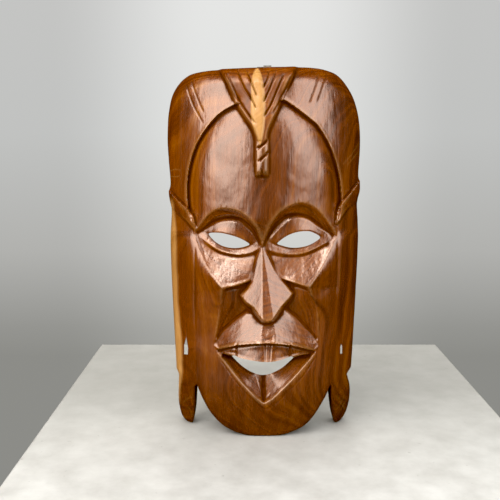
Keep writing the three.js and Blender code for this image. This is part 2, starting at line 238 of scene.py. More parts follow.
STRAIGHT_CUTS = [
    LEFT_CHEEK_RIDGE, RIGHT_CHEEK_RIDGE, LEFT_BASIN, RIGHT_BASIN,
    # cheek planes: their lower edges, the foot of the step below them, the valleys beside the nose
    [(-36.5, 137.5, 60), (-25, 139.2, 59), (-11, 143.5, 56)],
    [(38, 138, 60), (27, 141.4, 58.5), (14, 145, 55.5)],
    [(-36.4, 135, 58), (-31, 136, 54), (-24.5, 137, 51), (-11, 141.2, 49.5)],
    [(38.6, 135.4, 58), (33, 137, 54), (26.5, 138.8, 51), (14, 142.6, 49)],
    [(-3.4, 170.5, 50), (-6.5, 157, 52), (-11, 143.5, 56)],
    [(-0.4, 170.5, 50), (6.5, 157, 52), (14, 145, 55.5)],
    [(-2, 170, 50), (-0.5, 150, 51), (1, 135, 49), (2, 116, 52)],
    # the little step up from the hollows beside the nose to the lip
    [(-41, 91.8, 48), (-35.3, 98.8, 46.6), (-23, 110, 47.4), (-15.5, 115, 48.4), (-9, 116, 49.5)],
    [(45.4, 90.8, 46.2), (36.6, 100.4, 45.4), (27, 111, 46.4), (18, 118.6, 48), (12, 116, 49.5)],
    # upper lip: its top edge, and the flat strip down its middle
    [(-43.6, 86.2, 48.7), (-34, 96.8, 49.6), (-22, 108, 51.4), (-15.6, 113, 52.4), (-9.3, 114, 54),
     (-4.5, 110.6, 57.5)],
    [(47.9, 85.4, 47.2), (35, 98.4, 48.6), (25.6, 109.2, 50.6), (17.4, 116.6, 52.2), (10.6, 112, 56)],
    [(-4.5, 110.6, 57.5), (-2.2, 109, 59.4), (-2.8, 99.8, 64.2), (-2.4, 90.6, 68.8)],
    [(10.6, 112, 56), (7.6, 109, 59.4), (9.2, 99.8, 64.2), (10.2, 90.4, 68.6)],
    # the middle valley of the basin below the mouth
    [(-0.4, 36, 50), (-0.4, 46, 43), (-1, 58.4, 38)],
]
CURVED_CUTS = [
    LEFT_BROW, RIGHT_BROW, LEFT_SMILE, RIGHT_SMILE,
    # eyes: bottom of the cove under the brow, swell of the lid, edges of the slit, lower lid and its groove
    [(-57.5, 182.6, 39.5), (-49, 188.2, 40), (-43.5, 192.6, 41.5), (-38, 195, 43), (-30, 196.4, 45),
     (-21, 195, 46.6), (-15, 191.2, 47.6), (-9, 184.6, 48.6), (-3.2, 174.5, 50.5)],
    [(-0.8, 174.5, 50.5), (5.2, 184.8, 48.2), (11, 191.8, 47.4), (18, 197.2, 46.6), (25.2, 199, 45.4),
     (32.4, 198.4, 44), (39.4, 195.8, 42.4), (46.4, 190.6, 40.6), (53, 184.6, 39.4), (59.5, 180.4, 38.6)],
    [(-53, 183.8, 40.2), (-46, 188.6, 43), (-40, 191.8, 45.4), (-32, 193.4, 47.6), (-22, 191.4, 49),
     (-13, 184.6, 49.6), (-7.4, 176.2, 50)],
    [(4, 176.4, 50), (10, 184.6, 50), (16, 190.4, 49.4), (24, 195.4, 48.2), (32, 196.2, 46.8),
     (40, 193, 44.8), (48, 187, 42.4), (55, 182.4, 40.2)],
    [(-49.5, 182.7, 41.6), (-40.4, 184.6, 46.8), (-33.5, 183.8, 49.2), (-25.4, 181.7, 50.4),
     (-18, 178.6, 50.4), (-11.6, 174, 49.6)],
    [(-49.5, 182.3, 41.2), (-43.6, 176.3, 43), (-37.4, 172, 44.4), (-30.2, 169.9, 45.4), (-23, 169.7, 46.4),
     (-16, 170.9, 47.6), (-11.6, 173.6, 48.8)],
    [(9.6, 174.6, 49.6), (14.6, 179.2, 50.4), (20.6, 183, 50.4), (27.5, 185.3, 49.8), (34.6, 186, 48.2),
     (41, 185.2, 46), (48.8, 180, 42)],
    [(9.6, 174, 48.4), (16, 171.3, 47.2), (23, 169.9, 46), (30, 170.1, 45), (37.4, 171.7, 43.8),
     (43.6, 174.9, 42.6), (48.8, 179.5, 41.4)],
    [(-57.5, 180.6, 40.8), (-46, 172, 45.4), (-37, 167.4, 47.7), (-24, 165, 49.4), (-12, 166.4, 50.4),
     (-4, 170.8, 51)],
    [(0, 170.8, 51), (6, 167.6, 50.6), (18, 165.2, 49.6), (31, 165.4, 47.9), (42, 168.6, 45.6),
     (55, 175, 41.8), (59.5, 178, 40)],
    [(-57, 178.2, 41.2), (-46, 170.2, 43.7), (-37, 165.6, 45.8), (-24, 163.1, 47.6), (-12, 164.4, 48.8),
     (-5, 168, 50)],
    [(1, 168.3, 50), (6, 165.7, 49), (18, 163.3, 47.9), (31, 163.5, 46), (42, 166.7, 43.8),
     (55, 172.8, 41.2)],
    # mouth: lower edge of the lip, top and lower edge of the teeth, lower edge of the opening
    [(-43.6, 80.4, 48.8), (-39.2, 81.8, 52.4), (-30, 85.8, 59.8), (-20.8, 88.6, 64.6), (-9.3, 90.4, 68),
     (-2.4, 90.6, 68.8), (4, 91, 69), (10.2, 90.4, 68.6), (25.1, 87.4, 63.4), (34.4, 83.6, 57.6),
     (41.9, 80.6, 51.4), (46.8, 79, 47.6)],
    [(-41.6, 79.2, 47), (-34.7, 81.6, 50), (-25.4, 85, 55), (-9.3, 88.8, 59.6), (2.3, 89.5, 60.6),
     (13.8, 88.8, 59.6), (25.4, 85.4, 54.4), (37, 80.7, 49), (43.6, 78.2, 46)],
    [(-40, 77.6, 47), (-27.3, 76.6, 55.6), (-20.9, 75, 59.4), (-11.6, 73.6, 62.4), (1.3, 72.6, 64),
     (11.7, 73.4, 62.6), (24.6, 75.2, 56.4), (33, 76.4, 51), (41.5, 76.6, 46.4)],
    [(-38, 74.6, 45), (-28.5, 72.8, 41.5), (-22.4, 69.2, 41), (-15.6, 63.6, 41.5), (-6, 58.8, 42),
     (2.7, 58.4, 42), (10, 61.2, 41.5), (18.3, 66.4, 41), (28, 72.2, 41), (39.5, 73.6, 44.5)],
]

NOSE = [(-2, 173), (-5.3, 166), (-7.6, 155.7), (-10.4, 143), (-14.4, 136), (-20, 129.8), (-16.2, 125.4),
        (-9.3, 121.6), (-5, 115.6), (-1.4, 112.2), (2.4, 111.4), (6, 112.4), (9.6, 116.4), (14.6, 122.8),
        (20.6, 128), (24, 131.8), (18.2, 139.4), (13, 145), (6.7, 155.7), (2, 166)]


def fine(line):
    """A line with a point at least every 3 mm."""
    line = np.array(line, float)
    out = [line[:1]]
    for a, b in zip(line[:-1], line[1:]):
        steps = max(1, int(np.hypot(*(b - a)[:2]) / 3))
        out.append(a + (b - a) * (np.arange(1, steps + 1) / steps)[:, None])
    return np.vstack(out)


def facets():
    """Depth of the face, from the flat cuts that span its ridges and valleys."""
    lines = [fine(line) for line in STRAIGHT_CUTS]
    lines += [smooth(line, steps=4) for line in CURVED_CUTS]
    points, edges = [], []
    for line in lines:
        first = len(points)
        points += [tuple(p) for p in line]
        edges += [(first + i, first + i + 1) for i in range(len(line) - 1)]
    flat = [Vector(p[:2]) for p in points]
    corners, _, faces, origin, _, _ = delaunay_2d_cdt(flat, edges, [], 0, 0.05, True)
    depths = np.array([np.mean([points[i][2] for i in ids]) if ids else np.nan for ids in origin])
    corners = np.array([tuple(c) for c in corners])
    known = ~np.isnan(depths)
    for i in np.flatnonzero(~known):
        away = np.hypot(*(corners[known] - corners[i]).T)
        weight = 1 / (away + 0.1) ** 3
        depths[i] = (weight * depths[known]).sum() / weight.sum()
    field = np.zeros(X.shape)
    for face in faces:
        (ax, az), (bx, bz), (cx, cz) = corners[list(face)]
        area = (bx - ax) * (cz - az) - (cx - ax) * (bz - az)
        if abs(area) < 1e-6:
            continue
        columns = slice(*np.searchsorted(xs, [min(ax, bx, cx) - CELL, max(ax, bx, cx) + CELL]))
        rows = slice(*np.searchsorted(zs, [min(az, bz, cz) - CELL, max(az, bz, cz) + CELL]))
        x, z = X[rows, columns], Z[rows, columns]
        v = ((x - ax) * (cz - az) - (cx - ax) * (z - az)) / area
        w = ((bx - ax) * (z - az) - (x - ax) * (bz - az)) / area
        hit = (v >= -1e-6) & (w >= -1e-6) & (v + w <= 1 + 1e-6)
        a, b, c = depths[list(face)]
        field[rows, columns] = np.where(hit, a + v * (b - a) + w * (c - a), field[rows, columns])
    missed = field == 0
    near = blur(np.where(missed, 0, field), 0.8) / np.maximum(blur(np.where(missed, 0.0, 1.0), 0.8), 1e-6)
    return np.where(missed, near, field)


def soften_facets(field):
    """Smooths the facets themselves and leaves their ridges crisp."""
    ridges = [np.array(line, float)[:, :2] for line in STRAIGHT_CUTS]
    ridges += [smooth(line, steps=4)[:, :2] for line in CURVED_CUTS]
    away = np.full(X.shape, 1e9)
    for line in ridges:
        np.minimum(away, distance(line), out=away)
    once = np.where(away > 0.8, blur(field, 1.4), field)
    return field + (blur(once, 2.4) - field) * ease(0.8, 4.5, away)


def flat_cut(a, b, c):
    """Depth of the flat cut through three points."""
    a, b, c = np.array(a, float), np.array(b, float), np.array(c, float)
    n = np.cross(b - a, c - a)
    return a[2] - ((X - a[0]) * n[0] + (Z - a[1]) * n[1]) / n[2]


# ---------- the relief ----------
def log_surface():
    across = LOG_RADIUS - np.sqrt(LOG_RADIUS ** 2 - X ** 2)
    top = TOP_LEAN[1] * np.maximum(0, Z - TOP_LEAN[0]) ** 2
    chin = CHIN_LEAN[1] * np.maximum(0, CHIN_LEAN[0] - Z) ** 2
    return LOG_CROWN - across - top - chin


LOG = log_surface()
FACE_EDGE = np.vstack([smooth(LEFT_BROW), smooth(RIGHT_BROW), RIGHT_CHEEK_RIDGE, smooth(RIGHT_SMILE),
                       RIGHT_BASIN[::-1], LEFT_BASIN[::-1], smooth(LEFT_SMILE)[::-1],
                       LEFT_CHEEK_RIDGE[::-1]])[:, :2]


def carve_forehead(depth):
    """The forehead swells between two arcs, and sinks to a sharp step along them."""
    temples = [(63, 186), (62, 176), (-60, 176), (-61, 186)]
    area = depth_inside(np.vstack([LEFT_ARC[::-1], RIGHT_ARC, temples]))
    from_arc = np.minimum(distance(LEFT_ARC), distance(RIGHT_ARC))
    sunk = 5.4 * np.exp(-(from_arc / 8) ** 1.2)
    root = 6.2 * ease(198, 172, Z) * np.exp(-((X + 2) / 22) ** 2)
    forehead = LOG + 0.6 - sunk - root
    lip = 0.5 * np.exp(-(from_arc / 2) ** 2)
    return np.where(area > 0, forehead, depth + lip), forehead


def carve_lock(depth, forehead):
    """The pointed lock of hair with its pale leaf, and the short plaited tail below it."""
    inside = depth_inside(LOCK)
    flat = 0.0015 * X ** 2
    raised = np.maximum(forehead + flat + np.minimum(4.4, 1.8 * inside),
                        depth + flat + np.minimum(1.6, inside))
    depth = np.where(inside > 0, raised, depth)
    leaf = depth_inside(LEAF)
    depth = depth + np.where(leaf > 0, np.minimum(1.1, 0.6 * leaf), 0)
    across = 1 - ((X + 2.6) / 5.8) ** 2
    tail = (across > 0) & (Z < 264) & (Z > 232.5)
    swell = 1.2 + 3.2 * np.sqrt(np.clip(across, 0, 1)) * ease(232, 237, Z)
    depth = np.where(tail, np.maximum(depth, forehead + swell), depth)
    for line in LOCK_GROOVES:
        depth = depth - groove(line, 2.4, 1.7)
    for line in SLASHES:
        depth = depth - groove(line, 2.6, 2.4, fade=2)
    return depth - groove([(-2.6, 230), (-2.4, 239)], 2.0, 1.6)


def carve_ears(depth):
    """Leaf-shaped ears that run down into the long side bands, and the cut between band and jaw."""
    for side, tip, root, foot, low in ((-1, (-87, 220), (-62.6, 198.4), (-59, 186), (-60.5, 184)),
                                       (1, (87, 229), (64.9, 205), (61.8, 190), (63, 190))):
        middle = ((tip[0] + root[0]) / 2, (tip[1] + root[1]) / 2)
        upper = smooth([tip, (middle[0], middle[1] + 0.5), root, foot])
        lower = smooth([low, ((low[0] + tip[0]) / 2, (low[1] + tip[1]) / 2 - 5), (side * 90, 208)])
        area = depth_inside(np.vstack([upper, lower]))
        fade = ease(182, 194, Z)
        depth = depth + np.where(area > 0, (0.6 + 3.4 * np.exp(-distance(upper) / 9)) * fade, 0)
        depth = depth - np.where(area < 0, 1.2 * np.exp(-distance(upper) / 1.6), 0) * fade
    depth = depth - groove([(-59.5, 186), (-60.4, 168), (-60.6, 130), (-61.5, 92)], 2.6, 1.7, fade=30)
    depth = depth - groove([(-70, 100), (-68.6, 92), (-68.4, 60)], 1.6, 0.6, fade=10)
    depth = depth - groove([(63, 192), (64, 176), (63.6, 150), (63, 118)], 2.6, 1.5, fade=30)
    depth = depth + groove([(64.5, 186), (67.6, 174), (66.8, 150), (66, 112)], 3.6, 0.9, fade=30)
    return depth - groove([(70, 98), (70, 84), (69, 66)], 1.6, 0.8, fade=10)


def carve_face(depth):
    """The flat cuts of the face, let into the log, whose surface swells up to the cheek ridges."""
    inside = depth_inside(FACE_EDGE)
    for ridge in (LEFT_CHEEK_RIDGE + LEFT_SMILE[1:3], RIGHT_CHEEK_RIDGE + RIGHT_SMILE[1:3]):
        ridge = smooth(ridge)
        away = np.full(X.shape, 1e9)
        level = np.zeros(X.shape)
        for x, z, d in ridge:
            r = np.hypot(X - x, Z - z)
            level = np.where(r < away, d, level)
            away = np.minimum(away, r)
        depth = depth + np.maximum(0, blur(level, 1.5) - depth) * np.exp(-away / 9) * ease(186, 176, Z)
    depth = depth - 1.5 * ease(140, 90, Z) * ease(62, 40, np.abs(X))
    return np.where(inside > 0, soften_facets(facets()), depth)


def carve_nose(depth):
    """Two broad flat wings fall away from a narrow flat strip, and their lower edges overhang the lip."""
    strip = flat_cut((-2, 172, 51.5), (-3.2, 113, 72.4), (6.4, 113, 71.4))
    left = flat_cut((-2.4, 172, 51.4), (-3.2, 111, 72.4), (-20, 129.8, 56))
    right = flat_cut((-1.4, 172, 51.4), (6.2, 111, 72.8), (24, 131.8, 56))
    nose = np.minimum(np.minimum(left, right), strip)
    wall = 1.0 + 1.6 * ease(146, 134, Z)
    return np.maximum(depth, nose - wall * np.maximum(0, -depth_inside(NOSE)))


def carve_mouth_marks(depth):
    """Gaps between the teeth, the line round the lower lip, and the chisel marks in the basin."""
    for x, lean in ((-24, -0.8), (0.6, 0.4), (5.4, -1.2), (22.4, 0.8)):
        depth = depth - groove([(x, 89), (x + lean, 70)], 1.8, 1.3, fade=1)
    depth = depth - groove([(-39, 72.5), (-25.6, 54.1), (-15.1, 41.9), (-4.5, 30.9), (1.4, 28.7), (8.5, 31.5),
                            (21.3, 44.3), (36.4, 60.2), (45.5, 74)], 1.5, 0.6)
    for line in ([(-7.5, 55), (-5, 46), (-2.6, 39.5)], [(-3.5, 53), (-2.4, 45), (-1.4, 38)],
                 [(3.4, 46), (1.6, 41), (0.2, 36)], [(7, 43), (4, 39), (1, 35.5)]):
        depth = depth - groove(line, 1.5, 0.8)
    return depth


def round_edges(depth):
    """The outer edge is rounded over, most at the top and the shoulders; the lobes curl back at the foot."""
    inside = np.maximum(depth_inside(OUTLINE), 0)
    radius = 4 + 3 * ease(200, 290, Z) + 8 * ease(296, 312, Z)
    over = np.clip(1 - inside / radius, 0, 1)
    depth = depth - radius * (1 - np.sqrt(1 - over ** 2 + 1e-9))
    lobe = ease(57, 63, np.abs(X))
    return depth - lobe * 0.0030 * np.maximum(0, 56 - Z) ** 2


relief, forehead_surface = carve_forehead(LOG)
relief = carve_lock(relief, forehead_surface)
relief = carve_ears(relief)
relief = carve_face(relief)
relief = carve_nose(relief)
relief = carve_mouth_marks(relief)
for hair_line in HAIR_LINES:
    relief = relief - groove(hair_line, 1.5, 0.8)
for scratch in SCRATCHES:
    relief = relief - groove(scratch, 1.0, 0.35, fade=2)
relief = round_edges(relief)
relief = blur(relief, 0.38) + unevenness(3, 7, 0.2) + unevenness(4, 2.6, 0.04)
relief = np.minimum(relief, WOOD_DEPTH)


def hollow_surface():
    """The scooped back, with the marks of the gouge left in it."""
    r = ((np.abs(X) / HOLLOW["rx"]) ** HOLLOW["power"]
         + (np.abs(Z - HOLLOW["cz"]) / HOLLOW["rz"]) ** HOLLOW["power"]) ** (1 / HOLLOW["power"])
    scoop = HOLLOW["depth"] * np.sqrt(np.clip(1 - r ** 4, 0, 1))
    rows = np.abs(np.sin(X / GOUGE * math.pi + 0.6 * np.sin(Z / 31)))
    strokes = np.abs(np.sin(Z / 26 * math.pi + 1.9 * np.floor(X / GOUGE + 0.2 * np.sin(Z / 31))))
    marks = 0.9 * rows ** 0.7 + 0.5 * strokes ** 0.6 - 0.9
    inside = np.clip(scoop / 6, 0, 1)
    return np.maximum(0, scoop - 0.6 + marks * inside) * (r < 1)


softened_rim = 0.9 * np.clip(1 - np.maximum(depth_inside(OUTLINE), 0) / 1.2, 0, 1)
back_relief = blur(hollow_surface() + softened_rim, 0.6)
back_relief = np.minimum(back_relief, np.maximum(0, relief - THINNEST))


# ---------- meshes ----------
def new_object(name, vertices, faces):
    mesh = bpy.data.meshes.new(name)
    mesh.from_pydata(vertices, [], faces)
    mesh.validate()
    thing = bpy.data.objects.new(name, mesh)
    bpy.context.scene.collection.objects.link(thing)
    return thing


def activate(thing):
    bpy.ops.object.select_all(action="DESELECT")
    thing.select_set(True)
    bpy.context.view_layer.objects.active = thing


def place(x, depth, z):
    return np.stack([x * MM, (BACK_Y - depth) * MM, z * MM], -1)


def carved_block():
    rows, columns = X.shape
    front = place(X, relief, Z).reshape(-1, 3)
    back = place(X, back_relief, Z).reshape(-1, 3)
    n = rows * columns
    grid = np.arange(n).reshape(rows, columns)
    a, b, c, d = (g.ravel() for g in (grid[:-1, :-1], grid[:-1, 1:], grid[1:, 1:], grid[1:, :-1]))
    faces = np.vstack([np.stack([a, b, c, d], -1), np.stack([a, d, c, b], -1) + n])
    rim = np.concatenate([grid[0, :-1], grid[:-1, -1], grid[-1, :0:-1], grid[:0:-1, 0]])
    ahead = np.roll(rim, -1)
    faces = np.vstack([faces, np.stack([rim, rim + n, ahead + n, ahead], -1)])
    mesh = bpy.data.meshes.new("mask_wood")
    mesh.vertices.add(2 * n)
    mesh.vertices.foreach_set("co", np.vstack([front, back]).ravel())
    mesh.loops.add(faces.size)
    mesh.loops.foreach_set("vertex_index", faces.ravel())
    mesh.polygons.add(len(faces))
    mesh.polygons.foreach_set("loop_start", np.arange(len(faces)) * 4)
    mesh.update(calc_edges=True)
    mesh.validate()
    thing = bpy.data.objects.new("mask_wood", mesh)
    bpy.context.scene.collection.objects.link(thing)
    return thing


def cutter(outline, front, back, lean=(0, 0), flare=0.0, centre=None):
    """A closed prism through the wood. It leans and opens out behind the depth where the slit is drawn."""
    outline = np.array(outline, float)
    ax, az, at = centre or (0, 0, front)
    rings = []
    for depth in (front, at, back) if centre else (front, back):
        behind = max(0, at - depth)
        grow = 1 + flare * behind
        x = ax + (outline[:, 0] - ax) * grow + lean[0] * behind
        z = az + (outline[:, 1] - az) * grow + lean[1] * behind
        rings.append(place(x, np.full(len(x), float(depth)), z))
    n = len(outline)
    last = (len(rings) - 1) * n
    faces = [tuple(range(n)), tuple(range(last + n - 1, last - 1, -1))]
    for first in range(0, last, n):
        faces += [(first + (i + 1) % n, first + i, first + n + i, first + n + (i + 1) % n) for i in range(n)]
    thing = new_object("cutter", np.vstack(rings).tolist(), faces)
    activate(thing)
    bpy.ops.object.mode_set(mode="EDIT")
    bpy.ops.mesh.select_all(action="SELECT")
    bpy.ops.mesh.normals_make_consistent(inside=False)
    bpy.ops.object.mode_set(mode="OBJECT")
    return thing


def cut(thing, tool, operation="DIFFERENCE"):
    activate(thing)
    modifier = thing.modifiers.new("cut", "BOOLEAN")
    modifier.operation = operation
    modifier.solver = "MANIFOLD"
    modifier.object = tool
    bpy.ops.object.modifier_apply(modifier=modifier.name)
    bpy.data.objects.remove(tool)


def rectangle(left, right, foot, top):
    return [(left, foot), (right, foot), (right, top), (left, top)]


def circle(x, z, radius, sides=16):
    turns = np.arange(sides) * 2 * math.pi / sides
    return [(x + radius * math.cos(a), z + radius * math.sin(a)) for a in turns]


def thin_out(thing, triangles):
    """Fewer, uneven triangles: small where the carving turns, large where it is flat."""
    activate(thing)
    modifier = thing.modifiers.new("thin", "DECIMATE")
    modifier.ratio = triangles / sum(len(p.vertices) - 2 for p in thing.data.polygons)
    modifier.use_collapse_triangulate = True
    bpy.ops.object.modifier_apply(modifier=modifier.name)
    bpy.ops.object.shade_smooth_by_angle(angle=math.radians(CREASE))


wood = carved_block()
cut(wood, cutter(OUTLINE, CLEAR_FRONT, 2 * CLEAR_BACK), "INTERSECT")
foot_cut = rectangle(-100, 100, -20, 0)
cut(wood, cutter(foot_cut, CLEAR_FRONT + 5, 3 * CLEAR_BACK))
# each slit with how it leans and opens out towards the back, and the place where it is drawn
for slit, lean, flare, centre in (
        (LEFT_EYE, (0, -0.13), 0.012, (-30, 179, 48)),
        (RIGHT_EYE, (0, -0.13), 0.012, (29, 178, 48)),
        (MOUTH, (0, -0.28), 0.006, (0, 68, 55)),
        (LEFT_EAR_SLIT, (-0.09, -0.28), 0.02, (-69.5, 78, 33)),
        (RIGHT_EAR_SLIT, (0.12, -0.28), 0.03, (69.3, 77, 33))):
    cut(wood, cutter(slit, CLEAR_FRONT, CLEAR_BACK, lean, flare, centre))
recess = rectangle(HANGER_X - RECESS["half"], HANGER_X + RECESS["half"], RECESS["foot"], RECESS["top"])
cut(wood, cutter(recess, RECESS["depth"], CLEAR_BACK))
for screw_z in SCREW_Z:
    cut(wood, cutter(circle(HANGER_X, screw_z, SCREW_HOLE), 20.3, 0))
thin_out(wood, TRIANGLES)


def sample(field, x, z):
    """Values of a field at any places on the block."""
    column = np.clip((x - xs[0]) / CELL, 0, len(xs) - 1.001)
    row = np.clip((z - zs[0]) / CELL, 0, len(zs) - 1.001)
    i, j = column.astype(int), row.astype(int)
    u, v = column - i, row - j
    return ((1 - v) * ((1 - u) * field[j, i] + u * field[j, i + 1])
            + v * ((1 - u) * field[j + 1, i] + u * field[j + 1, i + 1]))


def store(thing, name, values):
    layer = thing.data.attributes.new(name, "FLOAT", "POINT")
    layer.data.foreach_set("value", np.asarray(values, np.float32))


def mark_wood(thing):
    """Stores where the wood is pale, worn, dark with wax and painted shade in its hollows and cuts, left raw
    or unpolished, for its finish to read.
    """
    spots = np.empty(len(thing.data.vertices) * 3)
    thing.data.vertices.foreach_get("co", spots)
    x, y, z = (spots.reshape(-1, 3) / MM).T
    depth = BACK_Y - y
    wander = unevenness(11, 9, 1.0)
    leaf = ease(-0.5, 0.7, depth_inside(LEAF))
    stripe_edge = np.interp(Z, [0, 22, 55, 82, 119, 174, 205],
                            [-80, -77.5, -73.5, -74.6, -76.2, -78.2, -80])
    stripe = 0.85 * ease(1.6, -1.6, X - stripe_edge - 0.6 * wander) * ease(214, 204, Z) * ease(16, 30, Z)
    bend = blur(relief, 0.5) - blur(relief, 1.8)
    proud = depth > sample(relief, x, z) - 2.5
    inner = ease(6, 11, depth_inside(OUTLINE))
    scuffs = sum(groove(line, 1.3, 1.1, fade=1) for line in SCRATCHES)
    worn = np.clip(sample(ease(0.16, 0.60, bend) * inner + scuffs, x, z), 0, 1) * proud
    cuts = sum(groove(line, 1.5, 1.0) for line in LOCK_GROOVES + SLASHES + HAIR_LINES)
    # painted shade: darker in the hollows and along the cut lines, together with the wax left in them
    wax_and_painted_shade = np.clip(sample(ease(0.12, 0.45, -bend) + cuts, x, z), 0, 1) * proud
    side = sample(depth_inside(OUTLINE), x, z) < 0.5
    raw = np.where(proud | side, 0, 1)
    pale_front = sample(np.maximum(leaf, stripe), x, z)
    store(thing, "sapwood", np.where(proud, pale_front, sample(stripe, x, z) * side))
    store(thing, "worn", worn)
    store(thing, "wax_and_painted_shade", wax_and_painted_shade)
    store(thing, "unpolished", proud * sample(ease(-0.5, 1.5, depth_inside(LOCK)), x, z))
    store(thing, "raw", raw)


mark_wood(wood)


# ---------- finishes ----------
class Finish:
    """A material made of nodes, wired by name."""

    def __init__(self, name):
        self.material = bpy.data.materials.new(name)
        self.material.use_nodes = True
        self.tree = self.material.node_tree
        self.shader = self.tree.nodes["Principled BSDF"]
        self.place = self.node("ShaderNodeTexCoord").outputs["Object"]

    def node(self, kind, **settings):
        made = self.tree.nodes.new(kind)
        for key, value in settings.items():
            setattr(made, key, value)
        return made

    def link(self, value, socket):
        if isinstance(value, bpy.types.NodeSocket):
            self.tree.links.new(value, socket)
        else:
            socket.default_value = value

    def stretched(self, scale, turn=(0, 0, 0)):
        mapping = self.node("ShaderNodeMapping")
        self.link(self.place, mapping.inputs["Vector"])
        mapping.inputs["Scale"].default_value = scale
        mapping.inputs["Rotation"].default_value = turn
        return mapping.outputs["Vector"]

    def noise(self, where, scale, detail=4.0, roughness=0.5, distortion=0.0):
        made = self.node("ShaderNodeTexNoise")
        self.link(where, made.inputs["Vector"])
        for key, value in (("Scale", scale), ("Detail", detail), ("Roughness", roughness),
                           ("Distortion", distortion)):
            made.inputs[key].default_value = value
        return made.outputs["Fac"]

    def math(self, operation, a, b=0.0):
        made = self.node("ShaderNodeMath", operation=operation)
        self.link(a, made.inputs[0])
        self.link(b, made.inputs[1])
        return made.outputs[0]

    def span(self, value, low, high, out_low=0.0, out_high=1.0):
        made = self.node("ShaderNodeMapRange", interpolation_type="SMOOTHSTEP")
        self.link(value, made.inputs["Value"])
        for key, number in (("From Min", low), ("From Max", high), ("To Min", out_low), ("To Max", out_high)):
            made.inputs[key].default_value = number
        return made.outputs["Result"]

    def ramp(self, value, stops):
        made = self.node("ShaderNodeValToRGB")
        self.link(value, made.inputs["Fac"])
        elements = made.color_ramp.elements
        while len(elements) < len(stops):
            elements.new(0.5)
        for element, (at, colour) in zip(elements, stops):
            element.position = at
            element.color = (*colour, 1)
        return made.outputs["Color"]

    def mix(self, amount, a, b, blend="MIX"):
        made = self.node("ShaderNodeMix", data_type="RGBA", blend_type=blend)
        self.link(amount, made.inputs["Factor"])
        for value, socket in ((a, made.inputs[6]), (b, made.inputs[7])):
            self.link(value if isinstance(value, bpy.types.NodeSocket) else (*value, 1), socket)
        return made.outputs[2]

    def mark(self, name):
        return self.node("ShaderNodeAttribute", attribute_name=name).outputs["Fac"]

    def bump(self, height, strength, distance, onto=None):
        made = self.node("ShaderNodeBump")
        self.link(height, made.inputs["Height"])
        made.inputs["Strength"].default_value = strength
        made.inputs["Distance"].default_value = distance
        if onto is not None:
            self.link(onto, made.inputs["Normal"])
        return made.outputs["Normal"]

    def set(self, **values):
        for key, value in values.items():
            socket = self.shader.inputs[key.replace("_", " ")]
            self.link(value if not isinstance(value, tuple) else (*value, 1), socket)


